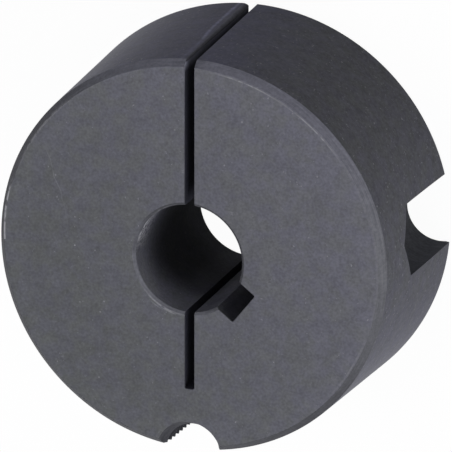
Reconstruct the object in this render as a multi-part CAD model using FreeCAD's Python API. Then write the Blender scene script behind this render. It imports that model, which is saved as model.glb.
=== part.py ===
import FreeCAD, Part
import math
import os

# Taper bush: a split ring with a keyed bore and a conical outside.
# It is pulled into the tapered bore of a pulley or sprocket hub by two screws,
# which lie half in the bush and half in the hub, and so closes on the shaft.
# Z is the axis. The large end face lies on z = 0, and the saw cut points to +Y.
# All sizes are in millimetres and degrees.

# Outside
bush_length = 31.75
large_end_diameter = 69.85
taper_half_angle = 4.0
large_end_chamfer = 0.85
small_end_chamfer_width = 1.1
small_end_chamfer_height = 1.3

# Bore and keyway
bore_diameter = 18.0
bore_mouth_chamfer = 0.45
keyway_width = 6.0
keyway_depth = 2.95
keyway_direction = -37.8
keyway_corner_radius = 0.25

# Saw cut through the wall, and the relief cut opposite, which lets the ring close
saw_cut_width = 1.6
saw_cut_offset = 0.26
saw_cut_edge_round_large_end = 0.9
saw_cut_edge_round_small_end = 0.2
saw_cut_face_edge_round = 0.6
relief_cut_reach = 22.0
relief_cut_corner_radius = 0.3

# Two smooth half holes for the clamping screws, blind from the large end
screw_circle_radius = 33.25
screw_hole_diameter = 11.85
screw_hole_depth = 19.2
screw_hole_directions = (5.2, 185.2)
drill_point_angle = 122.0

# Threaded half hole for the removal screw, right through, opposite the saw cut
removal_hole_direction = -89.7
thread_major_diameter = 11.11
threads_per_inch = 14
thread_flank_angle = 55.0
thread_depth_per_pitch = 0.6403
thread_countersink_angle = 52.0
thread_first_groove_depth = 3.23

# Cutters run this far past the faces that they break through
overrun = 1.0

Vector = FreeCAD.Vector
axis_point = Vector(0, 0, 0)
axis = Vector(0, 0, 1)


def cone_radius(z):
    """Radius of the tapered outside at height z, before its rims are chamfered."""
    return large_end_diameter / 2 - z * math.tan(math.radians(taper_half_angle))


def place(shape, direction, radius=0.0, z=0.0):
    """Moves a cutter out along +X, then turns it about the bush's axis."""
    shape.translate(Vector(radius, 0, z))
    shape.rotate(axis_point, axis, direction)
    return shape


def bored_blank():
    """The turned ring: tapered outside, plain bore, a chamfer at each rim and mouth."""
    bore = bore_diameter / 2
    mouth = bore + bore_mouth_chamfer
    large_rim_z = large_end_chamfer
    small_rim_z = bush_length - small_end_chamfer_height
    small_face_radius = cone_radius(small_rim_z) - small_end_chamfer_width
    section = [
        Vector(bore, 0, bore_mouth_chamfer),
        Vector(mouth, 0, 0),
        Vector(cone_radius(large_rim_z) - large_end_chamfer, 0, 0),
        Vector(cone_radius(large_rim_z), 0, large_rim_z),
        Vector(cone_radius(small_rim_z), 0, small_rim_z),
        Vector(small_face_radius, 0, bush_length),
        Vector(mouth, 0, bush_length),
        Vector(bore, 0, bush_length - bore_mouth_chamfer),
    ]
    outline = Part.makePolygon(section + [section[0]])
    return Part.Face(outline).revolve(axis_point, axis, 360)


def channel(width, reach, corner_radius):
    """A straight-sided cutter along the bush, from its axis out to x = reach.
    Its two outer corners are rounded."""
    height = bush_length + 2 * overrun
    block = Part.makeBox(reach, width, height, Vector(0, -width / 2, -overrun))
    corners = [
        edge
        for edge in block.Edges
        if edge.Length == height and edge.CenterOfMass.x > reach / 2
    ]
    radius = min(corner_radius, 0.45 * width)
    return block.makeFillet(radius, corners)


def saw_cut():
    """The cut that splits the ring. It stands a little to one side of the axis."""
    reach = large_end_diameter / 2 + overrun
    height = bush_length + 2 * overrun
    blade = Part.makeBox(reach, saw_cut_width, height)
    blade.translate(Vector(0, -saw_cut_width / 2 - saw_cut_offset, -overrun))
    return place(blade, 90.0)


def saw_cut_outer_edge_rounded():
    """Rounds the outer edge of the saw cut on its -X side, more at the large end.
    The round is a slender cone, which stays inside a square bar cut away around it.
    It crosses both faces at six degrees, so that it meets them cleanly."""
    wall_x = saw_cut_offset - saw_cut_width / 2
    gap_x = wall_x + saw_cut_width / 4
    far_y = large_end_diameter / 2 + overrun
    narrowing = saw_cut_edge_round_large_end - saw_cut_edge_round_small_end
    centres = []
    radii = []
    bar_ends = []
    for z in (-overrun, bush_length + overrun):
        radius = saw_cut_edge_round_large_end - narrowing * z / bush_length
        inset = radius * math.cos(math.radians(6))
        outside_y = math.sqrt(cone_radius(z) ** 2 - (wall_x - radius) ** 2)
        centre = Vector(wall_x - inset, outside_y - inset, z)
        corners = [
            centre,
            Vector(gap_x, centre.y, z),
            Vector(gap_x, far_y, z),
            Vector(centre.x, far_y, z),
        ]
        centres.append(centre)
        radii.append(radius)
        bar_ends.append(Part.makePolygon(corners + [centre]))
    run = centres[1] - centres[0]
    cone = Part.makeCone(radii[0], radii[1], run.Length, centres[0], run)
    return Part.makeLoft(bar_ends, True, True).cut(cone)


def saw_cut_face_edge_rounded():
    """Rounds the edge of the saw cut on its -X side at the large end face."""
    wall_x = saw_cut_offset - saw_cut_width / 2
    reach = large_end_diameter / 2 + overrun
    inset = saw_cut_face_edge_round * math.cos(math.radians(6))
    width = inset + saw_cut_width / 4
    bar = Part.makeBox(width, reach, inset + overrun, Vector(wall_x - inset, 0, -overrun))
    start = Vector(wall_x - inset, -overrun, inset)
    length = reach + 2 * overrun
    return bar.cut(Part.makeCylinder(saw_cut_face_edge_round, length, start, Vector(0, 1, 0)))


def relief_cut():
    """The cut in the bore opposite the split, in line with it, short of the outside."""
    blade = channel(saw_cut_width, relief_cut_reach, relief_cut_corner_radius)
    blade.translate(Vector(0, saw_cut_offset, 0))
    return place(blade, -90.0)


def keyway():
    """The slot for half of a parallel key."""
    reach = bore_diameter / 2 + keyway_depth
    return place(channel(keyway_width, reach, keyway_corner_radius), keyway_direction)


def screw_hole(direction):
    """A drilled hole, open at the large end, that breaks out of the tapered side.
    A screw pushes on its blind end, whose floor is the cone left by the drill."""
    radius = screw_hole_diameter / 2
    tip_height = radius / math.tan(math.radians(drill_point_angle / 2))
    section = [
        Vector(0, 0, -overrun),
        Vector(radius, 0, -overrun),
        Vector(radius, 0, screw_hole_depth),
        Vector(0, 0, screw_hole_depth + tip_height),
    ]
    outline = Part.makePolygon(section + [section[0]])
    drilled = Part.Face(outline).revolve(axis_point, axis, 360)
    return place(drilled, direction, screw_circle_radius)


def thread_groove_arc(major, minor, pitch):
    """The part of one turn of the thread that can meet the bush, as a swept solid.
    The rest of the turn belongs to the hub. The hole's axis is its own Z, and the
    arc is centred on -X, the side of the hole that faces the bush's axis, where the
    middle of its groove lies at z = 0."""
    flank = math.tan(math.radians(thread_flank_angle / 2))
    pitch_radius = (major + minor) / 2
    root = minor - 0.1 * pitch
    root_half = pitch / 4 + (pitch_radius - root) * flank
    crest_half = pitch / 4 - (major - pitch_radius) * flank
    section = [
        Vector(root, 0, -root_half),
        Vector(major, 0, -crest_half),
        Vector(major, 0, crest_half),
        Vector(root, 0, root_half),
    ]
    outline = Part.makePolygon(section + [section[0]])
    arc_angle = 240.0
    path = Part.makeHelix(pitch, pitch * arc_angle / 360, pitch_radius)
    arc = Part.Wire(path.Edges).makePipeShell([outline], True, True)
    arc.rotate(axis_point, axis, 180 - arc_angle / 2)
    arc.translate(Vector(0, 0, -pitch * arc_angle / 720))
    return arc


def removal_hole():
    """The tapped hole: its core, a countersink at each end, and one groove a turn.
    The first groove below the small end starts where the countersink has run out."""
    pitch = 25.4 / threads_per_inch
    major = thread_major_diameter / 2
    minor = major - thread_depth_per_pitch * pitch
    sink = (major - minor) / math.tan(math.radians(thread_countersink_angle / 2))
    section = [
        Vector(0, 0, -overrun),
        Vector(major, 0, -overrun),
        Vector(major, 0, 0),
        Vector(minor, 0, sink),
        Vector(minor, 0, bush_length - sink),
        Vector(major, 0, bush_length),
        Vector(major, 0, bush_length + overrun),
        Vector(0, 0, bush_length + overrun),
    ]
    outline = Part.makePolygon(section + [section[0]])
    core = Part.Face(outline).revolve(axis_point, axis, 360)
    cutters = [place(core, removal_hole_direction, screw_circle_radius)]
    threaded_length = bush_length - 2 * thread_first_groove_depth
    for turn in range(1 + math.floor(threaded_length / pitch)):
        groove = thread_groove_arc(major, minor, pitch)
        z = bush_length - thread_first_groove_depth - turn * pitch
        cutters.append(place(groove, removal_hole_direction, screw_circle_radius, z))
    return cutters


def bush():
    """The finished bush, one solid."""
    body = bored_blank()
    body = body.cut([saw_cut(), relief_cut(), keyway()])
    body = body.cut(saw_cut_outer_edge_rounded()).cut(saw_cut_face_edge_rounded())
    body = body.cut([screw_hole(direction) for direction in screw_hole_directions])
    for cutter in removal_hole():
        body = body.cut(cutter)
    return body


os.makedirs("parts", exist_ok=True)
bush().exportStep("parts/bush_body.step")
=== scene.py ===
"""Looks of a split taper bush: a finely faceted body with broken edges, a blackened iron
finish, a pale floor, soft studio light and the photograph's camera.

Lengths are written in millimetres and angles in degrees, and turned into Blender's metres
and radians where a mesh or object is made. The bush stands on its large end at z = 0, its
axis is Z and its saw cut points to +Y. Azimuths turn about Z, from +X towards +Y.
"""

import math

import bmesh
import bpy
from mathutils import Matrix, Vector

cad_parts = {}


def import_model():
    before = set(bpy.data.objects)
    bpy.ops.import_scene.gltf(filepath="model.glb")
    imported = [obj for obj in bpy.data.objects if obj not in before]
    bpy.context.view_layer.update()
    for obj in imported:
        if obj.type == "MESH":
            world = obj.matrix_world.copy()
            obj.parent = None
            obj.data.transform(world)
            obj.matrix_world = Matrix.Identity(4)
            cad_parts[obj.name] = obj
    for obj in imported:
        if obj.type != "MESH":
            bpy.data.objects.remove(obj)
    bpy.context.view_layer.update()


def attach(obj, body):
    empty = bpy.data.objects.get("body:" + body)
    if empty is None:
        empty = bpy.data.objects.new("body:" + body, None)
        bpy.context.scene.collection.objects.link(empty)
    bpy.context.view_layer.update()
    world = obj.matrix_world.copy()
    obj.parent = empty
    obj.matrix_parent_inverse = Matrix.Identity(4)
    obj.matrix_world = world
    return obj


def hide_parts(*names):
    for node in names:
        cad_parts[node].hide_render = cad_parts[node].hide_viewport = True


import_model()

MM = 0.001

# Outside of the bush
LENGTH = 31.75
LARGE_END_RADIUS = 34.925
TAPER = math.tan(math.radians(4.0))
LARGE_END_CHAMFER = 0.85
SMALL_END_CHAMFER_WIDTH = 1.1
SMALL_END_CHAMFER_HEIGHT = 1.3
SMALL_RIM_Z = LENGTH - SMALL_END_CHAMFER_HEIGHT
RIM_ROUND = 0.12

# Bore and keyway
BORE_RADIUS = 9.0
BORE_MOUTH_CHAMFER = 0.45
MOUTH_RADIUS = BORE_RADIUS + BORE_MOUTH_CHAMFER
KEYWAY_WIDTH = 6.0
KEYWAY_DEPTH = 2.95
KEYWAY_DIRECTION = -37.8
KEYWAY_CORNER_ROUND = 0.25

# Saw cut towards +Y and relief cut opposite
CUT_WIDTH = 1.6
CUT_OFFSET = 0.26
CUT_LEFT = CUT_OFFSET - CUT_WIDTH / 2
CUT_RIGHT = CUT_OFFSET + CUT_WIDTH / 2
CUT_OUTER_ROUND_LARGE_END = 0.9
CUT_OUTER_ROUND_SMALL_END = 0.2
CUT_FACE_ROUND_LARGE_END = 0.6
CUT_FACE_ROUND_SMALL_END = 0.16
RELIEF_DIRECTION = -90.0
RELIEF_REACH = 22.0
RELIEF_CORNER_ROUND = 0.3

# Clamping screws' smooth half holes
SCREW_CIRCLE = 33.25
CLAMP_HOLE_RADIUS = 5.925
CLAMP_HOLE_DEPTH = 19.2
CLAMP_HOLE_DIRECTIONS = (5.2, 185.2)
DRILL_POINT_HALF_ANGLE = 61.0
DRILL_TIP = CLAMP_HOLE_RADIUS / math.tan(math.radians(DRILL_POINT_HALF_ANGLE))

# Removal screw's threaded half hole
REMOVAL_HOLE_DIRECTION = -89.7
THREAD_MAJOR = 5.555
THREAD_PITCH = 25.4 / 14
THREAD_DEPTH_PER_PITCH = 0.6403
THREAD_MINOR = THREAD_MAJOR - THREAD_DEPTH_PER_PITCH * THREAD_PITCH
THREAD_FLANK = math.tan(math.radians(27.5))
COUNTERSINK_SLOPE = math.tan(math.radians(26.0))
COUNTERSINK_DEPTH = (THREAD_MAJOR - THREAD_MINOR) / COUNTERSINK_SLOPE
FIRST_GROOVE_DEPTH = 3.23
GROOVES = 15

# Edges left by a cutter are broken by EDGE_BREAK, and cutters run OVER past the end faces
EDGE_BREAK = 0.08
OVER = 1.0

# Cutters are shaped so that none of their sides lies in, or just grazes, a side of the bush:
# the rounds cross the walls at an angle, the saw cut's section leans outward past the end
# faces, and the thread's bar starts inside the hole's core and runs on past its end grooves
ROUND_CROSSING = 4.0
SECTION_LEAN = 0.02
THREAD_OVERLAP = 0.1 * THREAD_PITCH
THREAD_LEAD_TURNS = 1 / 3

# Fineness of the mesh. Rows of points EDGE_SUPPORT from each turned edge keep the shading
# of the flats even.
TURN_STEPS = 288
HOLE_STEPS = 96
ROUND_STEPS = 5
OUTER_ROUND_STEPS = 12
EDGE_SUPPORT = 0.12
SHARP_ANGLE = 28.0
MERGE_DISTANCE = 1e-4
ON_AXIS = 1e-9


def cone_radius(z):
    """Radius of the tapered outside at height z."""
    return LARGE_END_RADIUS - z * TAPER


FACE_RADIUS = cone_radius(SMALL_RIM_Z) - SMALL_END_CHAMFER_WIDTH


def rounded_corner(before, corner, after, radius):
    """Points of an arc that rounds a corner of an outline, from its first side to its next."""
    a = (before - corner).normalized()
    b = (after - corner).normalized()
    half = a.angle(b) / 2
    centre = corner + (a + b).normalized() * (radius / math.sin(half))
    start = corner + a * (radius / math.tan(half)) - centre
    end = corner + b * (radius / math.tan(half)) - centre
    turn = start.angle_signed(end)
    points = []
    for i in range(ROUND_STEPS + 1):
        points.append(centre + Matrix.Rotation(-turn * i / ROUND_STEPS, 2) @ start)
    return points


def rounded_outline(points, radii):
    """A closed outline with each corner rounded by its own radius, or left sharp for 0."""
    points = [Vector(p) for p in points]
    outline = []
    for i, corner in enumerate(points):
        before = points[i - 1]
        after = points[(i + 1) % len(points)]
        if radii[i]:
            outline += rounded_corner(before, corner, after, radii[i])
        else:
            outline.append(corner)
    return outline


def new_mesh_object(name, verts, faces):
    """A mesh object from points in millimetres, with its faces turned outward."""
    mesh = bpy.data.meshes.new(name)
    mesh.from_pydata([Vector(v) * MM for v in verts], [], faces)
    bm = bmesh.new()
    bm.from_mesh(mesh)
    bmesh.ops.recalc_face_normals(bm, faces=bm.faces)
    bm.to_mesh(mesh)
    bm.free()
    mesh.update()
    obj = bpy.data.objects.new(name, mesh)
    bpy.context.scene.collection.objects.link(obj)
    return obj


def skinned(name, rings):
    """A solid skin over a row of rings that have as many points each, closed at both ends."""
    count = len(rings[0])
    verts = [p for ring in rings for p in ring]
    faces = []
    for k in range(len(rings) - 1):
        low = k * count
        high = low + count
        for i in range(count):
            j = (i + 1) % count
            faces.append((low + i, low + j, high + j, high + i))
    faces.append(tuple(reversed(range(count))))
    faces.append(tuple(range((len(rings) - 1) * count, len(rings) * count)))
    return new_mesh_object(name, verts, faces)


def revolved(name, outline, steps):
    """A ring or plug turned about Z from an outline of (radius, z).
    An outline that starts and ends on the axis is closed there with a single point."""
    verts = []
    faces = []
    on_axis = [abs(p[0]) < ON_AXIS for p in outline]
    index = []
    for k, (radius, z) in enumerate(outline):
        index.append(len(verts))
        if on_axis[k]:
            verts.append((0, 0, z))
            continue
        for i in range(steps):
            a = 2 * math.pi * i / steps
            verts.append((radius * math.cos(a), radius * math.sin(a), z))
    closed = not (on_axis[0] and on_axis[-1])
    for k in range(len(outline) if closed else len(outline) - 1):
        n = (k + 1) % len(outline)
        for i in range(steps):
            j = (i + 1) % steps
            if on_axis[k]:
                faces.append((index[k], index[n] + j, index[n] + i))
            elif on_axis[n]:
                faces.append((index[k] + i, index[k] + j, index[n]))
            else:
                faces.append((index[k] + i, index[k] + j, index[n] + j, index[n] + i))
    return new_mesh_object(name, verts, faces)


def turned(obj, direction, radius=0.0):
    """Moves a cutter out along +X, turns it about the bush's axis and fixes it there."""
    turn = Matrix.Rotation(math.radians(direction), 4, "Z")
    obj.data.transform(turn @ Matrix.Translation((radius * MM, 0, 0)))
    return obj


def blank():
    """The turned ring before it is cut, with a small round on each of its edges."""
    corners = [
        (BORE_RADIUS, BORE_MOUTH_CHAMFER),
        (MOUTH_RADIUS, 0),
        (cone_radius(LARGE_END_CHAMFER) - LARGE_END_CHAMFER, 0),
        (cone_radius(LARGE_END_CHAMFER), LARGE_END_CHAMFER),
        (cone_radius(SMALL_RIM_Z), SMALL_RIM_Z),
        (FACE_RADIUS, LENGTH),
        (MOUTH_RADIUS, LENGTH),
        (BORE_RADIUS, LENGTH - BORE_MOUTH_CHAMFER),
    ]
    outline = rounded_outline(corners, [RIM_ROUND] * len(corners))
    supported = []
    for i, point in enumerate(outline):
        after = outline[(i + 1) % len(outline)]
        run = after - point
        supported.append(point)
        if run.length > 4 * EDGE_SUPPORT:
            supported.append(point + run.normalized() * EDGE_SUPPORT)
            supported.append(after - run.normalized() * EDGE_SUPPORT)
    return revolved("bush_blank", supported, TURN_STEPS)


def saw_cut():
    """The cut through the wall, as a bar along +Y whose section flares at both end faces.
    Its section lies in X and Z. Its left wall is rounded into both end faces."""
    on_wall = Vector((CUT_LEFT, LENGTH / 2))
    large_end = rounded_corner(
        on_wall,
        Vector((CUT_LEFT, 0)),
        Vector((CUT_LEFT - OVER, 0)),
        CUT_FACE_ROUND_LARGE_END,
    )
    small_end = rounded_corner(
        Vector((CUT_LEFT - OVER, LENGTH)),
        Vector((CUT_LEFT, LENGTH)),
        on_wall,
        CUT_FACE_ROUND_SMALL_END,
    )
    right_flare = CUT_RIGHT + EDGE_BREAK + OVER
    past_faces = [
        Vector((large_end[-1].x - SECTION_LEAN, -OVER)),
        Vector((right_flare, -OVER)),
        Vector((CUT_RIGHT, EDGE_BREAK)),
        Vector((CUT_RIGHT, LENGTH - EDGE_BREAK)),
        Vector((right_flare, LENGTH + OVER)),
        Vector((small_end[0].x - SECTION_LEAN, LENGTH + OVER)),
    ]
    section = large_end + past_faces + small_end
    rings = [[(p.x, y, p.y) for p in section] for y in (0.0, LARGE_END_RADIUS + OVER)]
    return skinned("cut_saw", rings)


def outer_edge_round(name, wall_x, side, radius_large_end, radius_small_end):
    """Rounds the edge where the saw cut's wall at wall_x meets the tapered outside.
    side is -1 for the wall whose solid lies to its left and 1 for the other."""
    gap_x = wall_x - side * CUT_WIDTH / 3
    rings = []
    for z in (-OVER, LENGTH + OVER):
        share = z / LENGTH
        radius = radius_large_end + (radius_small_end - radius_large_end) * share
        inset = radius * math.cos(math.radians(ROUND_CROSSING))
        outside_y = math.sqrt(cone_radius(z) ** 2 - (wall_x + side * radius) ** 2)
        centre = Vector((wall_x + side * inset, outside_y - inset))
        ring = []
        for i in range(OUTER_ROUND_STEPS + 1):
            a = math.radians(90 * i / OUTER_ROUND_STEPS)
            x = centre.x - side * radius * math.cos(a)
            ring.append((x, centre.y + radius * math.sin(a), z))
        ring.append((centre.x, outside_y + OVER, z))
        ring.append((gap_x, outside_y + OVER, z))
        ring.append((gap_x, centre.y, z))
        rings.append(ring)
    return skinned(name, rings)


def flared_channel(name, width, middle, reach, corner_round):
    """A cutter along Z, from the bush's axis out to x = reach, with its outer corners
    rounded. It grows by the edge break at both end faces."""
    flare = EDGE_BREAK + OVER
    levels = (
        (-OVER, flare),
        (EDGE_BREAK, 0.0),
        (LENGTH - EDGE_BREAK, 0.0),
        (LENGTH + OVER, flare),
    )
    rings = []
    for z, growth in levels:
        half = width / 2 + growth
        far = reach + growth
        radius = corner_round + growth
        low, high = middle - half, middle + half
        corners = [(0, low), (far, low), (far, high), (0, high)]
        outline = rounded_outline(corners, [0, radius, radius, 0])
        rings.append([(p.x, p.y, z) for p in outline])
    return skinned(name, rings)


def relief_cut():
    """The cut in the bore's wall opposite the saw cut, short of the outside."""
    channel = flared_channel(
        "cut_relief", CUT_WIDTH, CUT_OFFSET, RELIEF_REACH, RELIEF_CORNER_ROUND
    )
    return turned(channel, RELIEF_DIRECTION)


def keyway():
    """The slot for half of a parallel key."""
    reach = BORE_RADIUS + KEYWAY_DEPTH
    channel = flared_channel("cut_keyway", KEYWAY_WIDTH, 0.0, reach, KEYWAY_CORNER_ROUND)
    return turned(channel, KEYWAY_DIRECTION)


def clamp_hole(name, direction):
    """A drilled blind hole, open at the large end, with a drill point at its floor."""
    outline = [
        (0, -OVER),
        (CLAMP_HOLE_RADIUS + EDGE_BREAK + OVER, -OVER),
        (CLAMP_HOLE_RADIUS, EDGE_BREAK),
        (CLAMP_HOLE_RADIUS, CLAMP_HOLE_DEPTH),
        (0, CLAMP_HOLE_DEPTH + DRILL_TIP),
    ]
    return turned(revolved(name, outline, HOLE_STEPS), direction, SCREW_CIRCLE)


def removal_hole_core():
    """The tapped hole's core, with a countersink at each end."""
    wide = THREAD_MAJOR + OVER * COUNTERSINK_SLOPE
    outline = [
        (0, -OVER),
        (wide, -OVER),
        (THREAD_MINOR, COUNTERSINK_DEPTH),
        (THREAD_MINOR, LENGTH - COUNTERSINK_DEPTH),
        (wide, LENGTH + OVER),
        (0, LENGTH + OVER),
    ]
    core = revolved("cut_removal_core", outline, HOLE_STEPS)
    return turned(core, REMOVAL_HOLE_DIRECTION, SCREW_CIRCLE)


def removal_thread():
    """The thread's groove as one helical bar. Its middle lies FIRST_GROOVE_DEPTH below the
    small end on the side of the hole that faces the bush's axis."""
    pitch_radius = (THREAD_MAJOR + THREAD_MINOR) / 2
    root = THREAD_MINOR - THREAD_OVERLAP
    root_half = THREAD_PITCH / 4 + (pitch_radius - root) * THREAD_FLANK
    crest_half = THREAD_PITCH / 4 - (THREAD_MAJOR - pitch_radius) * THREAD_FLANK
    section = [
        (root, -root_half),
        (THREAD_MAJOR, -crest_half),
        (THREAD_MAJOR, crest_half),
        (root, root_half),
    ]
    top = LENGTH - FIRST_GROOVE_DEPTH
    first_turn = -(GROOVES - 1) - THREAD_LEAD_TURNS
    steps = int(round((THREAD_LEAD_TURNS - first_turn) * HOLE_STEPS))
    rings = []
    for i in range(steps + 1):
        turn = first_turn + i / HOLE_STEPS
        a = math.pi + 2 * math.pi * turn
        z = top + THREAD_PITCH * turn
        rings.append([(r * math.cos(a), r * math.sin(a), z + dz) for r, dz in section])
    thread = skinned("cut_removal_thread", rings)
    return turned(thread, REMOVAL_HOLE_DIRECTION, SCREW_CIRCLE)


def outer_rounds():
    """The rounded outer edge on the saw cut's left and the broken one on its right."""
    left = outer_edge_round(
        "cut_round_left", CUT_LEFT, -1, CUT_OUTER_ROUND_LARGE_END, CUT_OUTER_ROUND_SMALL_END
    )
    right = outer_edge_round("cut_round_right", CUT_RIGHT, 1, EDGE_BREAK, EDGE_BREAK)
    return [left, right]


def cut_body():
    """The bush's body: the blank with every cutter taken away from it."""
    body = blank()
    cutters = [saw_cut()] + outer_rounds()
    cutters += [
        relief_cut(),
        keyway(),
        clamp_hole("cut_clamp_1", CLAMP_HOLE_DIRECTIONS[0]),
        clamp_hole("cut_clamp_2", CLAMP_HOLE_DIRECTIONS[1]),
        removal_hole_core(),
        removal_thread(),
    ]
    for cutter in cutters:
        modifier = body.modifiers.new(cutter.name, "BOOLEAN")
        modifier.operation = "DIFFERENCE"
        modifier.solver = "EXACT"
        modifier.object = cutter
    bpy.context.view_layer.update()
    result = body.evaluated_get(bpy.context.evaluated_depsgraph_get())
    mesh = bpy.data.meshes.new_from_object(result)
    mesh.name = "bush_finish"
    for obj in cutters + [body]:
        bpy.data.objects.remove(obj)
    bm = bmesh.new()
    bm.from_mesh(mesh)
    bmesh.ops.remove_doubles(bm, verts=bm.verts, dist=MERGE_DISTANCE * MM)
    bmesh.ops.dissolve_degenerate(bm, edges=bm.edges, dist=MERGE_DISTANCE * MM)
    bm.to_mesh(mesh)
    bm.free()
    mesh.shade_smooth()
    mesh.set_sharp_from_angle(angle=math.radians(SHARP_ANGLE))
    piece = bpy.data.objects.new("bush_finish", mesh)
    bpy.context.scene.collection.objects.link(piece)
    weighted = piece.modifiers.new("face_weighted_normals", "WEIGHTED_NORMAL")
    weighted.keep_sharp = True
    return piece


# The finishes' settings. A RUN is a smooth step: where it starts and ends, and its value at
# each, which is 0 and 1 where none is given. An ARC or BAND is a middle and a half width.
# Colours are linear. A SIZE is about how large a noise's features are.

# The blackened coat: a warm and a cool tone of it, and the bluer ones of the tapered side, which
# paint a bluish sheen
SIDE_WARM = (0.1055, 0.1076, 0.1145, 1.0)
SIDE_COOL = (0.1065, 0.1067, 0.1250, 1.0)
SIDE_SHEEN_BLUE = (0.0975, 0.0978, 0.1435, 1.0)
SIDE_SHEEN_BLUE_WARM = (0.0970, 0.0978, 0.1320, 1.0)

# Rough sawn iron, also used as painted shade in the bore, light specks in the coat, and iron that
# is bare, also used as painted highlight on the rings of wear, chipped or rubbed
SAWN_AND_SHADE = (0.023, 0.023, 0.025, 1.0)
SPECK = (0.26, 0.26, 0.28, 1.0)
BARE_AND_HIGHLIGHT = (0.42, 0.42, 0.43, 1.0)
CHIPPED = (0.60, 0.60, 0.61, 1.0)
RUBBED = (0.36, 0.36, 0.37, 1.0)

# Grain of every finish, by the size of its features
GRAIN_SIZE = 0.42
MOTTLE_SIZE = 0.95
CLOUD_SIZE = 2.8

# The coat's tints, light specks and hairlines
TINT_SIZE = 2.4
TINT_RUN = (0.34, 0.66)
SPECK_SIZE = 0.5
SPECK_FADE = 0.1
SPECK_SHARE = 0.7
HAIR_SIZE = 1.7
HAIR_BAND = (0.5, 0.016)
HAIR_PLACES_SIZE = 2.1
HAIR_PLACES_RUN = (0.64, 0.74, 0.0, 0.32)

# Marks of use show only near the small end
MARKS_RUN = (LENGTH - 6.0, LENGTH - 4.0)

# Rings of wear, partly bare iron and partly painted highlight where the edges catch light: radius,
# half width, middle azimuth, half turn and strength
WORN_AND_HIGHLIGHT_RINGS = (
    (FACE_RADIUS - 0.26, 0.17, 72.0, 15.0, 0.45),
    (FACE_RADIUS - 0.26, 0.17, 49.0, 15.0, 0.45),
    (FACE_RADIUS - 0.16, 0.34, 22.0, 84.0, 0.08),
    (FACE_RADIUS - 0.30, 0.24, -30.0, 14.0, 0.16),
    (FACE_RADIUS + 0.22, 0.34, 168.5, 9.0, 1.30),
    (FACE_RADIUS + 0.08, 0.28, 175.5, 8.0, 1.10),
    (FACE_RADIUS - 0.08, 0.22, 181.0, 7.0, 0.80),
    (FACE_RADIUS + 0.08, 0.26, 142.0, 18.0, 0.36),
    (FACE_RADIUS - 0.06, 0.24, 128.0, 56.0, 0.07),
    (BORE_RADIUS + 0.52, 0.16, -118.0, 38.0, 0.45),
    (BORE_RADIUS + 0.70, 0.14, -108.0, 18.0, 0.35),
    (BORE_RADIUS + 0.95, 0.10, -122.0, 12.0, 0.25),
    (BORE_RADIUS + 0.10, 0.14, 122.0, 24.0, 0.25),
)
WORN_HIGHLIGHT_GAP_SIZE = 0.9
WORN_HIGHLIGHT_GAP_RUN = (0.32, 0.54)

# The fine curved scratch: centre, radius, half width, middle azimuth, half turn and strength
SCRATCH = ((-61.85, -2.46, 0.0), 41.78, 0.12, 18.5, 12.0, 0.17)
SCRATCH_SWAY_SIZE = 3.5
SCRATCH_SWAY = 1.2
SCRATCH_GAP_SIZE = 1.4
SCRATCH_GAP_RUN = (0.30, 0.55, 0.25, 1.0)

# Small bare spots on the small end face: x, y, radius and strength
DENTS = (
    (-19.4, 0.3, 0.16, 0.5),
    (-15.9, -0.2, 0.13, 0.35),
    (-18.6, -9.3, 0.14, 0.3),
    (-15.1, -10.6, 0.16, 0.3),
    (-7.0, -14.0, 0.18, 0.25),
    (-5.2, -14.7, 0.16, 0.25),
    (-15.4, -21.9, 0.15, 0.35),
    (-2.2, 21.3, 0.20, 0.25),
    (21.5, 16.0, 0.16, 0.3),
    (18.9, 14.2, 0.14, 0.3),
    (9.0, 23.7, 0.16, 0.3),
)
DENT_RAG_SIZE = 0.3
DENT_FADE = 1.5

# The end faces: painted light that makes them lighter and cooler from one side to the other, and a
# lighter outer ring
FACE_SHADED = (0.1008, 0.1045, 0.1030, 1.0)
FACE_SHADED_COOL = (0.1018, 0.1040, 0.1150, 1.0)
FACE_LIT = (0.1258, 0.1272, 0.1365, 1.0)
FACE_LIT_COOL = (0.1264, 0.1264, 0.1490, 1.0)
FACE_LIGHT_LEAN = (0.848, 0.530, 0.0)
FACE_LIGHT_LEAN_REACH = 40.0
FACE_OUTER_RUN = (25.0, 31.0, 1.0, 1.045)

# The tapered side: a painted bluish sheen in two bands that lies across its lean direction and is
# weaker away from the saw cut, a lift towards the small end, and painted light where the side
# turns away from the lamps
SIDE_SHEEN_LEAN = (0.866, 0.5, 0.0)
SIDE_SHEEN_START_RUN = (-30.0, -6.0)
SIDE_SHEEN_END_RUN = (16.0, 31.0, 1.0, 0.0)
SIDE_SHEEN_Y_RUN = (-10.0, 10.0, 0.5, 1.0)
SIDE_LIFT_RUN = (4.0, 26.0, 1.10, 1.14)
SIDE_PAINTED_LIGHT_ARC = (76.0, 30.0)
SIDE_PAINTED_LIGHT_GAIN = 1.10

# Its trace of oil
OIL_WEIGHT = 0.2
OIL_ROUGHNESS = 0.15
OIL_IOR = 1.2

# Its light line on the saw cut's left, partly a line of wear and partly a painted highlight where
# the round begins: place in x and strength, both along z
RIDGE_HIGHLIGHT_X_RUN = (14.0, 22.0, -2.02, -1.5)
RIDGE_HIGHLIGHT_HALF_WIDTH = 0.5
RIDGE_HIGHLIGHT_STRENGTH_RUN = (17.0, 25.0, 1.05, 0.22)
RIDGE_HIGHLIGHT_Y_RUN = (0.0, 5.0)
RIDGE_HIGHLIGHT_GAP_SIZE = 1.1
RIDGE_HIGHLIGHT_GAP_RUN = (0.3, 0.6, 0.55, 1.2)

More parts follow.
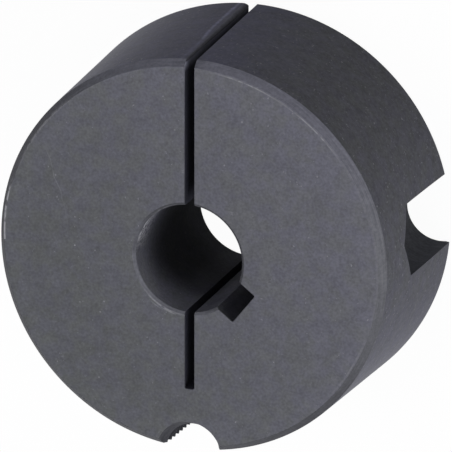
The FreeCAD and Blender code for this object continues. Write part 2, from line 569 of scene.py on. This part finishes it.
# The chamfers' tone, painted shade away from and a painted highlight towards a lean direction; the
# outer one is cooler towards +Y.
# The tones' steps start and end at shares of the chamfer's radius.
RIM_SHADED = (0.072, 0.073, 0.079, 1.0)
RIM_HIGHLIGHT = (0.158, 0.160, 0.171, 1.0)
RIM_HIGHLIGHT_COOL = (0.175, 0.176, 0.208, 1.0)
MOUTH_HIGHLIGHT = (0.161, 0.163, 0.181, 1.0)
RIM_HIGHLIGHT_LEAN = (0.7071, 0.7071, 0.0)
RIM_HIGHLIGHT_START = -0.15
RIM_COOL_END = 0.9

# The chamfers' turned rings, painted shade on the left and a smudge at the saw cut
RIM_RING_SIZE = 0.17
RIM_RING_STRETCH = (0.03, 0.03, 1.0)
RIM_RING_SWING = 0.6
RIM_SHADE_ARC = (173.0, 16.0)
RIM_SHADE = 0.22
RIM_SMUDGE_ARC = (89.5, 6.0)
RIM_SMUDGE_SIZE = 0.8
RIM_SMUDGE_RUN = (0.3, 0.7, 0.1, 0.4)

# The bore's lighter parts, partly wear from rubbing and partly painted light, by azimuth and by
# depth below the small end.
# Strips of painted light have a middle azimuth, a half turn, the depths between which they grow,
# and a strength. Painted light makes the wall lighter near the far end. Painted shade turns it
# dark with depth, and the keyway with radius.
BORE_RUB_AND_LIGHT_ARC = (-120.0, 66.0)
BORE_RUB_AND_LIGHT_RUN = (6.0, 13.0, 1.4, 0.0)
BORE_LIGHT_STRIPS = (
    (-70.0, 26.0, 5.0, 15.0, 3.4),
    (-104.0, 24.0, 9.0, 14.0, 0.7),
)
BORE_FAR_LIGHT_RUN = (20.0, 32.0, 1.0, 1.8)
BORE_SHADE_RUN = (3.0, 14.0, 0.0, 0.45)
KEYWAY_SHADE_RUN = (BORE_RADIUS + 0.2, BORE_RADIUS + 1.4, 0.0, 0.33)

# The streak inside the bore's mouth, torn by noise, and the chips at its upper end
STREAK_ARC = (152.0, 36.0)
STREAK_DEPTH_RUN = (0.5, 9.0, 1.0, 0.0)
STREAK_TEAR_SIZE = 0.42
STREAK_TEAR_STRETCH = (1.0, 1.0, 0.6)
STREAK_TEAR_RUN = (0.38, 0.62)
CHIPS_DEPTH_BAND = (1.15, 0.8)
CHIPS_ARC = (152.0, 26.0)
CHIPS_SIZE = 0.8
CHIPS_RUN = (0.40, 0.56)

# The saw cut's rounded lip, with painted shade from the outside to the wall
LIP_LIT = (0.170, 0.172, 0.198, 1.0)
LIP_SHADED = (0.084, 0.086, 0.098, 1.0)
LIP_SHADE_RUN = (CUT_LEFT - 0.65, CUT_LEFT + 0.05)

# The sawn walls' share of the coat and their tint; by depth under the tapered outside they
# are dark at the edge, lightest below it, partly wear from rubbing and partly painted light, and
# plain further in
SAWN_COAT = 0.35
SAWN_TINT = (1.0, 1.0, 1.1)
SAWN_EDGE_RUN = (0.15, 0.50, 0.6, 4.4)
SAWN_RUB_AND_LIGHT_RUN = (0.45, 2.0, 1.0, 0.22)

# The screw holes' walls: the smooth holes, the countersinks and the thread, which is darker with
# painted shade in its grooves
DRILLED = (0.098, 0.101, 0.116)
SUNK = (0.072, 0.073, 0.079)
THREAD_SHADED = (0.050, 0.051, 0.055)
CUTTER_MARK_SIZE = 0.35
CUTTER_MARK_STRETCH = (0.15, 0.15, 1.0)
CUTTER_MARK_SWING = 0.7


class Shader:
    """A material's nodes, with short names for the kinds that the finishes use."""

    def __init__(self, name, roughness, specular):
        self.material = bpy.data.materials.new(name)
        self.material.use_nodes = True
        self.nodes = self.material.node_tree.nodes
        self.links = self.material.node_tree.links
        self.surface = self.nodes["Principled BSDF"]
        self.surface.inputs["Roughness"].default_value = roughness
        self.surface.inputs["Specular IOR Level"].default_value = specular
        place = self.nodes.new("ShaderNodeTexCoord").outputs["Object"]
        self.place = self.scaled(place, 1 / MM)
        self.x, self.y, self.z = self.split(self.place)

    def put(self, socket, value):
        """Links a socket to another node's output, or sets it to a plain value."""
        if hasattr(value, "is_output"):
            self.links.new(value, socket)
        else:
            socket.default_value = value

    def math(self, operation, a, b=0.0):
        """A Math node's result."""
        node = self.nodes.new("ShaderNodeMath")
        node.operation = operation
        self.put(node.inputs[0], a)
        self.put(node.inputs[1], b)
        return node.outputs[0]

    def times(self, value, *factors):
        """The product of a value and some factors."""
        for factor in factors:
            value = self.math("MULTIPLY", value, factor)
        return value

    def vector(self, operation, a, b):
        """A Vector Math node's result, which is a number for a length or a dot product."""
        node = self.nodes.new("ShaderNodeVectorMath")
        node.operation = operation
        self.put(node.inputs[0], a)
        self.put(node.inputs[1], b)
        return node.outputs["Value"] if operation in ("LENGTH", "DOT_PRODUCT") else node.outputs[0]

    def scaled(self, colour, factor):
        """A colour or place times a number."""
        node = self.nodes.new("ShaderNodeVectorMath")
        node.operation = "SCALE"
        self.put(node.inputs[0], colour)
        self.put(node.inputs["Scale"], factor)
        return node.outputs[0]

    def split(self, place):
        """The three coordinates of a place."""
        node = self.nodes.new("ShaderNodeSeparateXYZ")
        self.links.new(place, node.inputs[0])
        return node.outputs

    def length(self, place):
        """Distance of a place from its origin."""
        return self.vector("LENGTH", place, (0.0, 0.0, 0.0))

    def noise(self, size, detail=2.0, offset=(0.0, 0.0, 0.0), stretch=(1.0, 1.0, 1.0)):
        """Noise whose features are about size millimetres across, from 0 to 1. A stretch
        below 1 draws them out along that axis, and an offset sets it apart from others."""
        spot = self.vector("MULTIPLY", self.vector("ADD", self.place, offset), stretch)
        node = self.nodes.new("ShaderNodeTexNoise")
        node.inputs["Scale"].default_value = 1 / size
        node.inputs["Detail"].default_value = detail
        self.links.new(spot, node.inputs["Vector"])
        return node.outputs["Fac"]

    def swing(self, noise, amount, about=1.0):
        """A value that a noise makes swing by an amount about another."""
        away = self.math("SUBTRACT", noise, 0.5)
        return self.math("ADD", self.math("MULTIPLY", away, amount), about)

    def ramp(self, value, start, end, low=0.0, high=1.0):
        """A smooth step from low to high as value goes from start to end."""
        node = self.nodes.new("ShaderNodeMapRange")
        node.interpolation_type = "SMOOTHSTEP"
        self.put(node.inputs["Value"], value)
        node.inputs["From Min"].default_value = start
        node.inputs["From Max"].default_value = end
        node.inputs["To Min"].default_value = low
        node.inputs["To Max"].default_value = high
        return node.outputs["Result"]

    def band(self, value, middle, half_width):
        """1 where value is at the middle, falling smoothly to 0 at half_width from it."""
        away = self.math("ABSOLUTE", self.math("SUBTRACT", value, middle))
        return self.ramp(away, 0.0, half_width, 1.0, 0.0)

    def mix(self, share, a, b):
        """The colour a where share is 0, and b where it is 1."""
        node = self.nodes.new("ShaderNodeMix")
        node.data_type = "RGBA"
        self.put(node.inputs["Factor"], share)
        self.put(node.inputs["A"], a)
        self.put(node.inputs["B"], b)
        return node.outputs["Result"]

    def from_centre(self, centre):
        """The level way from a centre to the surface."""
        away = self.vector("SUBTRACT", self.place, centre)
        return self.vector("MULTIPLY", away, (1.0, 1.0, 0.0))

    def radius(self):
        """Distance from the bush's axis."""
        return self.length(self.vector("MULTIPLY", self.place, (1.0, 1.0, 0.0)))

    def lean(self, toward):
        """How far a point lies from the bush's axis along a direction."""
        return self.vector("DOT_PRODUCT", self.place, toward)

    def azimuth(self):
        """Angle about the bush's axis in degrees, from -180 to 180."""
        return self.angle(self.x, self.y)

    def angle(self, x, y):
        """Direction of a point from the origin in degrees, from -180 to 180."""
        return self.math("DEGREES", self.math("ARCTAN2", y, x))

    def marked(self):
        """1 near the small end, which shows marks of use, and 0 below, where it is plain."""
        return self.ramp(self.z, *MARKS_RUN)

    def bump(self, height, distance, strength):
        """Bumps the surface by a height of 0 to 1 over a distance in millimetres."""
        node = self.nodes.new("ShaderNodeBump")
        node.inputs["Strength"].default_value = strength
        node.inputs["Distance"].default_value = distance * MM
        self.links.new(height, node.inputs["Height"])
        self.links.new(node.outputs[0], self.surface.inputs["Normal"])

    def pitted(self, size, detail, distance, strength):
        """Bumps the surface with fine pits."""
        self.bump(self.noise(size, detail), distance, strength)

    def colour(self, value):
        """Gives the surface its colour."""
        self.links.new(value, self.surface.inputs["Base Color"])


def grained(shader, colour, grain=0.55, mottle=0.30, cloud=0.28, seed=0.0):
    """The colour with its lightness varied in fine grain, in mottling and in broad clouds."""
    lightness = 1.0
    for size, amount in ((GRAIN_SIZE, grain), (MOTTLE_SIZE, mottle), (CLOUD_SIZE, cloud)):
        noise = shader.noise(size, 1.0, (5.0, 21.0, 33.0 + seed))
        lightness = shader.swing(noise, amount, lightness)
    return shader.scaled(colour, lightness)


def coated(shader, warm, cool, seed=0.0, grain=0.55, mottle=0.30, speck_from=0.70):
    """The blackened coat's colour: faint warm and cool clouds, grain, sparse light specks
    where a noise is above speck_from, and a few light hairlines."""
    clouds = shader.noise(TINT_SIZE, 3.0, (40.0 + seed, 7.0, 3.0))
    tint = shader.mix(shader.ramp(clouds, *TINT_RUN), warm, cool)
    base = grained(shader, tint, grain, mottle, seed=seed)
    spots = shader.noise(SPECK_SIZE, 2.0, (90.0, 2.0 + seed, 71.0))
    specks = shader.ramp(spots, speck_from, speck_from + SPECK_FADE, 0.0, SPECK_SHARE)
    speckled = shader.mix(specks, base, SPECK)
    hairs = shader.band(shader.noise(HAIR_SIZE, 1.0, (13.0, seed, 50.0)), *HAIR_BAND)
    places = shader.noise(HAIR_PLACES_SIZE, 1.0, (27.0, 70.0 + seed, 8.0))
    hairs = shader.times(hairs, shader.ramp(places, *HAIR_PLACES_RUN))
    return shader.mix(hairs, speckled, SPECK)


def worn_and_highlight_edge(shader, colour, radius, half_width, middle, half_turn, share):
    """The colour with a ring of it bare from wear and partly a painted highlight, brightest at one
    azimuth and broken by noise.
    """
    ring = shader.band(shader.radius(), radius, half_width)
    arc = shader.times(shader.band(shader.azimuth(), middle, half_turn), shader.marked())
    gaps = shader.ramp(shader.noise(WORN_HIGHLIGHT_GAP_SIZE, 3.0, (middle, 0.0, 0.0)), *WORN_HIGHLIGHT_GAP_RUN)
    return shader.mix(shader.times(ring, arc, gaps, share), colour, BARE_AND_HIGHLIGHT)


def scratch(shader, colour, centre, radius, half_width, middle, half_turn, share):
    """The colour with a fine curved scratch: an arc about a centre, broken by noise."""
    away = shader.from_centre(centre)
    x, y, _ = shader.split(away)
    swaying = shader.swing(shader.noise(SCRATCH_SWAY_SIZE, 1.0), SCRATCH_SWAY, shader.length(away))
    line = shader.band(swaying, radius, half_width)
    arc = shader.times(shader.band(shader.angle(x, y), middle, half_turn), shader.marked())
    gaps = shader.noise(SCRATCH_GAP_SIZE, 2.0, (radius, middle, 0.0))
    gaps = shader.ramp(gaps, *SCRATCH_GAP_RUN)
    return shader.mix(shader.times(line, arc, gaps, share), colour, BARE_AND_HIGHLIGHT)


def dented(shader, colour):
    """The colour with the small bare spots of DENTS."""
    for x, y, radius, share in DENTS:
        away = shader.length(shader.vector("SUBTRACT", shader.place, (x, y, LENGTH)))
        ragged = shader.math("ADD", away, shader.times(shader.noise(DENT_RAG_SIZE), radius))
        spot = shader.ramp(ragged, radius, DENT_FADE * radius, share, 0.0)
        colour = shader.mix(spot, colour, BARE_AND_HIGHLIGHT)
    return colour


def worn_and_highlit(shader, colour):
    """The colour with all the rings of wear and painted highlight."""
    for ring in WORN_AND_HIGHLIGHT_RINGS:
        colour = worn_and_highlight_edge(shader, colour, *ring)
    return colour


def end_face():
    """Matte blackened iron on the end faces, with painted light that makes them a little cooler
    and lighter to one side.
    """
    shader = Shader("blackened_iron_face", roughness=0.5, specular=0.05)
    # Painted light: the faces are lighter and cooler towards one side, as the light falls
    across = shader.ramp(shader.lean(FACE_LIGHT_LEAN), -FACE_LIGHT_LEAN_REACH, FACE_LIGHT_LEAN_REACH)
    warm = shader.mix(across, FACE_SHADED, FACE_LIT)
    cool = shader.mix(across, FACE_SHADED_COOL, FACE_LIT_COOL)
    outer = shader.ramp(shader.radius(), *FACE_OUTER_RUN)
    colour = shader.scaled(coated(shader, warm, cool), outer)
    colour = scratch(shader, colour, *SCRATCH)
    shader.colour(worn_and_highlit(shader, dented(shader, colour)))
    shader.pitted(size=0.25, detail=3.0, distance=0.01, strength=0.35)
    return shader.material


def tapered_side():
    """Blackened iron on the tapered outside, a little darker low down. It is matte but for a
    trace of oil, which lifts the surface where it is seen at a grazing angle."""
    shader = Shader("blackened_iron_side", roughness=0.5, specular=0.0)
    shader.surface.inputs["Coat Weight"].default_value = OIL_WEIGHT
    shader.surface.inputs["Coat Roughness"].default_value = OIL_ROUGHNESS
    shader.surface.inputs["Coat IOR"].default_value = OIL_IOR
    # Painted sheen: bluish bands at the sides, where the side is seen at a grazing angle
    lean = shader.lean(SIDE_SHEEN_LEAN)
    painted_sheen = shader.times(
        shader.ramp(lean, *SIDE_SHEEN_END_RUN),
        shader.ramp(lean, *SIDE_SHEEN_START_RUN),
        shader.ramp(shader.y, *SIDE_SHEEN_Y_RUN),
    )
    cool = shader.mix(painted_sheen, SIDE_COOL, SIDE_SHEEN_BLUE)
    warm = shader.mix(painted_sheen, SIDE_WARM, SIDE_SHEEN_BLUE_WARM)
    # A light line by the saw cut, partly wear and partly a painted highlight
    ridge_highlight = shader.times(
        shader.band(shader.x, shader.ramp(shader.z, *RIDGE_HIGHLIGHT_X_RUN), RIDGE_HIGHLIGHT_HALF_WIDTH),
        shader.ramp(shader.z, *RIDGE_HIGHLIGHT_STRENGTH_RUN),
        shader.ramp(shader.y, *RIDGE_HIGHLIGHT_Y_RUN),
        shader.ramp(shader.noise(RIDGE_HIGHLIGHT_GAP_SIZE, 2.0, (2.0, 60.0, 11.0)), *RIDGE_HIGHLIGHT_GAP_RUN),
    )
    # Painted light: lighter where the side turns away from the lamps
    away = shader.band(shader.azimuth(), *SIDE_PAINTED_LIGHT_ARC)
    away = shader.ramp(away, 0.0, 1.0, 1.0, SIDE_PAINTED_LIGHT_GAIN)
    lift = shader.ramp(shader.z, *SIDE_LIFT_RUN)
    light = shader.times(lift, shader.math("ADD", ridge_highlight, away))
    coat = coated(shader, warm, cool, seed=17.0, grain=0.48, mottle=0.45, speck_from=0.65)
    shader.colour(shader.scaled(coat, light))
    shader.pitted(size=0.25, detail=3.0, distance=0.01, strength=0.2)
    return shader.material


def turned_rim(name, reach, facing, light, light_cool):
    """A turned chamfer: the coat over fine rings, with a painted highlight where it faces a lean
    direction and painted shade away from it.
    reach is its radius, and facing is 1 where it faces outward and -1 inward."""
    shader = Shader(name, roughness=0.45, specular=0.04)
    # Painted highlight towards the lean direction, painted shade away from it
    lean = shader.lean(RIM_HIGHLIGHT_LEAN)
    side = shader.ramp(lean, RIM_HIGHLIGHT_START * facing * reach, facing * reach)
    cooler = shader.ramp(shader.y, 0.0, RIM_COOL_END * facing * reach)
    tone = shader.mix(side, RIM_SHADED, shader.mix(cooler, light, light_cool))
    rings = shader.noise(RIM_RING_SIZE, 1.0, (0.0, 0.0, 13.0), RIM_RING_STRETCH)
    lines = shader.swing(rings, RIM_RING_SWING)
    # Painted shade on the chamfer's left
    shade = shader.times(shader.band(shader.azimuth(), *RIM_SHADE_ARC), RIM_SHADE)
    lines = shader.math("SUBTRACT", lines, shade)
    smudge = shader.noise(RIM_SMUDGE_SIZE, 2.0, (31.0, 4.0, 9.0))
    smudge = shader.ramp(smudge, *RIM_SMUDGE_RUN)
    smudge = shader.times(smudge, shader.band(shader.azimuth(), *RIM_SMUDGE_ARC))
    lines = shader.math("SUBTRACT", lines, smudge)
    colour = grained(shader, shader.scaled(tone, lines), grain=0.5, mottle=0.3, cloud=0.2)
    shader.colour(worn_and_highlit(shader, colour))
    shader.bump(rings, distance=0.01, strength=0.5)
    return shader.material


def bored_wall():
    """The bore's wall and the keyway, almost without gloss, with painted shade that darkens them
    further in.
    It is brighter near the mouth opposite the light, partly wear from rubbing and partly painted
    light; strips deeper in and the far end get painted light too."""
    shader = Shader("blackened_iron_bore", roughness=0.8, specular=0.012)
    depth = shader.math("SUBTRACT", LENGTH, shader.z)
    azimuth = shader.azimuth()
    # Painted light near the mouth, partly wear from rubbing, in strips deeper in and near the far
    # end
    rub_and_light = shader.band(azimuth, *BORE_RUB_AND_LIGHT_ARC)
    gain = shader.times(rub_and_light, shader.ramp(depth, *BORE_RUB_AND_LIGHT_RUN))
    gain = shader.math("ADD", gain, 1.0)
    for middle, half_turn, start, end, strength in BORE_LIGHT_STRIPS:
        strip = shader.band(azimuth, middle, half_turn)
        strip = shader.times(strip, shader.ramp(depth, start, end, 0.0, strength))
        gain = shader.math("ADD", strip, gain)
    gain = shader.times(gain, shader.ramp(depth, *BORE_FAR_LIGHT_RUN))
    colour = shader.scaled(coated(shader, SIDE_WARM, SIDE_COOL, seed=29.0), gain)
    tears = shader.noise(STREAK_TEAR_SIZE, 2.0, (3.0, 8.0, 1.0), STREAK_TEAR_STRETCH)
    streak = shader.times(
        shader.band(azimuth, *STREAK_ARC),
        shader.ramp(depth, *STREAK_DEPTH_RUN),
        shader.ramp(tears, *STREAK_TEAR_RUN),
    )
    colour = shader.mix(streak, colour, RUBBED)
    chips = shader.times(
        shader.band(depth, *CHIPS_DEPTH_BAND),
        shader.band(azimuth, *CHIPS_ARC),
        shader.ramp(shader.noise(CHIPS_SIZE, 3.0, (7.0, 1.0, 5.0)), *CHIPS_RUN),
    )
    colour = shader.mix(chips, colour, CHIPPED)
    # Painted shade: darker with depth, and in the keyway with radius
    colour = shader.mix(shader.ramp(depth, *BORE_SHADE_RUN), colour, SAWN_AND_SHADE)
    colour = shader.mix(shader.ramp(shader.radius(), *KEYWAY_SHADE_RUN), colour, SAWN_AND_SHADE)
    shader.colour(colour)
    shader.pitted(size=0.3, detail=3.0, distance=0.02, strength=0.5)
    return shader.material


def rounded_lip():
    """The rounded outer edge of the saw cut, with painted shade that darkens it towards the cut's
    wall.
    """
    shader = Shader("blackened_iron_lip", roughness=0.6, specular=0.02)
    # Painted shade towards the cut's wall, where the round turns away from the light
    tone = shader.mix(shader.ramp(shader.x, *LIP_SHADE_RUN), LIP_LIT, LIP_SHADED)
    shader.colour(grained(shader, tone, grain=0.6, mottle=0.5, cloud=0.3, seed=51.0))
    shader.pitted(size=0.35, detail=2.0, distance=0.02, strength=0.5)
    return shader.material


def sawn_wall():
    """The walls of the two cuts, rough and dark, lighter near the outside, partly wear from
    rubbing and partly painted light.
    """
    shader = Shader("blackened_iron_sawn", roughness=0.9, specular=0.0)
    colour = coated(shader, SIDE_WARM, SIDE_COOL, seed=29.0)
    colour = shader.vector("MULTIPLY", shader.mix(SAWN_COAT, SAWN_AND_SHADE, colour), SAWN_TINT)
    outside = shader.math("SUBTRACT", LARGE_END_RADIUS, shader.times(shader.z, TAPER))
    depth = shader.math("SUBTRACT", outside, shader.radius())
    # Painted light below the outer edge, partly wear from rubbing
    edge = shader.ramp(depth, *SAWN_EDGE_RUN)
    rub_and_light = shader.times(edge, shader.ramp(depth, *SAWN_RUB_AND_LIGHT_RUN))
    shader.colour(shader.scaled(colour, rub_and_light))
    shader.pitted(size=0.35, detail=2.0, distance=0.03, strength=0.6)
    return shader.material


def drilled_wall(name, tone):
    """The walls of the screw holes."""
    shader = Shader(name, roughness=0.6, specular=0.02)
    marks = shader.noise(CUTTER_MARK_SIZE, 2.0, (3.0, 9.0, 4.0), CUTTER_MARK_STRETCH)
    tone = shader.scaled(tone, shader.swing(marks, CUTTER_MARK_SWING))
    shader.colour(grained(shader, tone, grain=0.5, mottle=0.4, cloud=0.4, seed=43.0))
    shader.pitted(size=0.3, detail=3.0, distance=0.02, strength=0.5)
    return shader.material


# The regions are told apart by a face's centre and normal. These are shares of the normal
# along Z, outward from the bush's axis, towards a hole's axis, and along X and Y at the lip.
FLAT = 0.985
FLAT_IN_HOLE = 0.95
SLOPED = 0.3
OUTWARD = 0.985
FACING_HOLE = 0.2
LIP_TOWARDS_CUT = 0.1
LIP_TOWARDS_OUTSIDE = 0.05

# And these are how far from a hole's wall, the saw cut's left wall, the tapered outside, the
# cuts' walls and the bore's wall a face's centre may lie
HOLE_SLACK = 0.1
LIP_REACH = 1.0
LIP_DEPTH = 1.1
WALL_SLACK = 0.05
MOUTH_REACH = 1.0


def screw_holes():
    """Each screw hole as its centre, its widest radius, the height where it ends and, for
    the threaded one, the heights between which its thread lies."""
    kinds = []
    for direction in CLAMP_HOLE_DIRECTIONS:
        kinds.append((direction, CLAMP_HOLE_RADIUS, CLAMP_HOLE_DEPTH + DRILL_TIP, None))
    thread = (COUNTERSINK_DEPTH, LENGTH - COUNTERSINK_DEPTH)
    kinds.append((REMOVAL_HOLE_DIRECTION, THREAD_MAJOR, LENGTH, thread))
    holes = []
    for direction, radius, top, thread in kinds:
        a = math.radians(direction)
        centre = Vector((math.cos(a), math.sin(a))) * SCREW_CIRCLE
        holes.append((centre, radius, top, thread))
    return holes


def hole_region(centre, normal, holes):
    """The finish of a face in a screw hole's wall, or None for a face elsewhere."""
    for hole, radius, top, thread in holes:
        away = centre.xy - hole
        if away.length >= radius + HOLE_SLACK or centre.z >= top:
            continue
        inward = -normal.xy.dot(away.normalized())
        if inward <= FACING_HOLE or abs(normal.z) >= FLAT_IN_HOLE:
            continue
        if thread is None:
            return "hole"
        return "thread" if thread[0] < centre.z < thread[1] else "sink"
    return None


def on_lip(centre, normal):
    """Whether a face belongs to the rounded outer edge on the saw cut's left."""
    beside_cut = centre.y > 0 and abs(centre.x - CUT_LEFT) < LIP_REACH
    turned_out = normal.x > LIP_TOWARDS_CUT and normal.y > LIP_TOWARDS_OUTSIDE
    near_outside = centre.xy.length > cone_radius(centre.z) - LIP_DEPTH
    return beside_cut and turned_out and near_outside


def region_of(centre, normal, holes):
    """Which finish a face of the bush has."""
    in_hole = hole_region(centre, normal, holes)
    if in_hole:
        return in_hole
    if abs(normal.z) > FLAT:
        return "face"
    if on_lip(centre, normal):
        return "lip"
    radius = centre.xy.length
    outward = normal.xy.dot(centre.xy.normalized())
    if outward > OUTWARD:
        return "side"
    between_walls = abs(centre.x - CUT_OFFSET) < CUT_WIDTH / 2 + WALL_SLACK
    if between_walls and radius > BORE_RADIUS + WALL_SLACK:
        return "cut"
    if radius < BORE_RADIUS + MOUTH_REACH and abs(normal.z) > SLOPED:
        return "mouth"
    if outward > SLOPED or abs(normal.z) > SLOPED:
        return "rim"
    return "bore"


def finish_regions(piece):
    """Gives each face of the bush the finish of its region."""
    rim = turned_rim("blackened_iron_rim", FACE_RADIUS, 1, RIM_HIGHLIGHT, RIM_HIGHLIGHT_COOL)
    mouth = turned_rim("blackened_iron_mouth", BORE_RADIUS, -1, MOUTH_HIGHLIGHT, MOUTH_HIGHLIGHT)
    finishes = {
        "face": end_face(),
        "side": tapered_side(),
        "rim": rim,
        "mouth": mouth,
        "lip": rounded_lip(),
        "bore": bored_wall(),
        "cut": sawn_wall(),
        "hole": drilled_wall("blackened_iron_drilled", DRILLED),
        "sink": drilled_wall("blackened_iron_sunk", SUNK),
        "thread": drilled_wall("blackened_iron_thread", THREAD_SHADED),
    }
    mesh = piece.data
    mesh.materials.clear()
    for material in finishes.values():
        mesh.materials.append(material)
    names = list(finishes)
    holes = screw_holes()
    for face in mesh.polygons:
        region = region_of(face.center / MM, face.normal, holes)
        face.material_index = names.index(region)


# The floor is a dull grey for scattered light, and nearly white where it is seen directly
FLOOR_SIZE = 6000.0
FLOOR_DROP = 0.02
FLOOR_GREY = (0.25, 0.25, 0.25, 1.0)
FLOOR_SEEN = (0.95, 0.95, 0.95, 1.0)
FLOOR_WHITE_SHARE = 0.96

# Sky light, and square soft boxes around the bush: name, azimuth, elevation, level and tint.
# A level is the light on a surface that faces the box, where 1 renders a colour as it is
# written.
WHITE = (1.0, 1.0, 1.0, 1.0)
WORLD_LEVEL = 0.1
LAMP_DISTANCE = 1200.0
LAMP_SIZE = 700.0
LAMPS = (
    ("overhead", 0, 90, 0.46, (1.0, 1.0, 1.0)),
    ("right", 0, 8, 0.22, (1.0, 1.0, 0.95)),
    ("lower_right", -42, 30, 0.41, (0.98, 0.98, 1.12)),
    ("left", 180, 35, 0.27, (0.98, 0.98, 1.12)),
    ("top", 90, 35, 0.04, (0.95, 0.95, 1.3)),
)

# The camera, from the places of the rims, the bore and the saw cut in the photograph
CAMERA_PLACE = (175.868, 171.476, 522.093)
CAMERA_RIGHT = (0.94482, 0.003223, -0.327573)
CAMERA_UP = (-0.102277, 0.952869, -0.285623)
PICTURE_PIXELS = 452
FOCAL_PIXELS = 3432.066
SENSOR = 36.0
CLIP_START = 10.0
CLIP_END = 20000.0


def seen_directly(nodes, links):
    """1 for what the camera, a reflection or glass shows, and 0 for light that is scattered."""
    path = nodes.new("ShaderNodeLightPath")
    shown = path.outputs["Is Camera Ray"]
    for name in ("Is Glossy Ray", "Is Transmission Ray"):
        either = nodes.new("ShaderNodeMath")
        either.operation = "MAXIMUM"
        links.new(shown, either.inputs[0])
        links.new(path.outputs[name], either.inputs[1])
        shown = either.outputs[0]
    return shown


def mixed_shader(nodes, links, share, first, second):
    """A Mix Shader node's result. Its share is a number or another node's output."""
    node = nodes.new("ShaderNodeMixShader")
    if hasattr(share, "is_output"):
        links.new(share, node.inputs["Fac"])
    else:
        node.inputs["Fac"].default_value = share
    links.new(first, node.inputs[1])
    links.new(second, node.inputs[2])
    return node.outputs[0]


def floor():
    """A pale floor that shows white to the camera and in reflections, and keeps a shadow."""
    bpy.ops.mesh.primitive_plane_add(size=FLOOR_SIZE * MM, location=(0, 0, -FLOOR_DROP * MM))
    plane = bpy.context.object
    plane.name = "floor"
    material = bpy.data.materials.new("floor")
    material.use_nodes = True
    nodes = material.node_tree.nodes
    links = material.node_tree.links
    grey = nodes["Principled BSDF"]
    grey.inputs["Base Color"].default_value = FLOOR_GREY
    grey.inputs["Roughness"].default_value = 1.0
    grey.inputs["Specular IOR Level"].default_value = 0.0
    seen = nodes.new("ShaderNodeBsdfDiffuse")
    seen.inputs["Color"].default_value = FLOOR_SEEN
    white = nodes.new("ShaderNodeEmission")
    white.inputs["Strength"].default_value = 1.0
    backdrop = mixed_shader(nodes, links, FLOOR_WHITE_SHARE, seen.outputs[0], white.outputs[0])
    shown = seen_directly(nodes, links)
    surface = mixed_shader(nodes, links, shown, grey.outputs[0], backdrop)
    links.new(surface, nodes["Material Output"].inputs["Surface"])
    plane.data.materials.append(material)


def world():
    """Even sky light, and plain white where the camera or a reflection sees it."""
    studio = bpy.data.worlds.new("studio")
    bpy.context.scene.world = studio
    studio.use_nodes = True
    nodes = studio.node_tree.nodes
    links = studio.node_tree.links
    light = nodes["Background"]
    light.inputs["Color"].default_value = WHITE
    light.inputs["Strength"].default_value = WORLD_LEVEL
    white = nodes.new("ShaderNodeBackground")
    white.inputs["Strength"].default_value = 1.0
    shown = seen_directly(nodes, links)
    surface = mixed_shader(nodes, links, shown, light.outputs[0], white.outputs[0])
    links.new(surface, nodes["World Output"].inputs["Surface"])


def lamp(name, azimuth, elevation, level, tint):
    """A soft box aimed at the bush."""
    a, e = math.radians(azimuth), math.radians(elevation)
    toward = Vector((math.cos(e) * math.cos(a), math.cos(e) * math.sin(a), math.sin(e)))
    distance = LAMP_DISTANCE * MM
    data = bpy.data.lights.new(name, "AREA")
    data.shape = "SQUARE"
    data.size = LAMP_SIZE * MM
    data.color = tint
    data.energy = level * (math.pi * distance) ** 2
    obj = bpy.data.objects.new(name, data)
    obj.location = toward * distance + Vector((0, 0, LENGTH / 2 * MM))
    obj.rotation_euler = toward.to_track_quat("Z", "Y").to_euler()
    bpy.context.scene.collection.objects.link(obj)


def camera():
    """The photograph's camera, made the scene's own."""
    data = bpy.data.cameras.new("camera")
    data.sensor_width = SENSOR
    data.lens = FOCAL_PIXELS / PICTURE_PIXELS * SENSOR
    data.clip_start = CLIP_START * MM
    data.clip_end = CLIP_END * MM
    obj = bpy.data.objects.new("camera", data)
    right = Vector(CAMERA_RIGHT)
    up = Vector(CAMERA_UP)
    back = right.cross(up)
    turn = Matrix((right, up, back)).transposed()
    obj.matrix_world = Matrix.Translation(Vector(CAMERA_PLACE) * MM) @ turn.to_4x4()
    bpy.context.scene.collection.objects.link(obj)
    bpy.context.scene.camera = obj


camera()
world()
for settings in LAMPS:
    lamp(*settings)
floor()

bush = cut_body()
finish_regions(bush)
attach(bush, "root")
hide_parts("bush_body")

bpy.context.scene.view_settings.view_transform = "Standard"
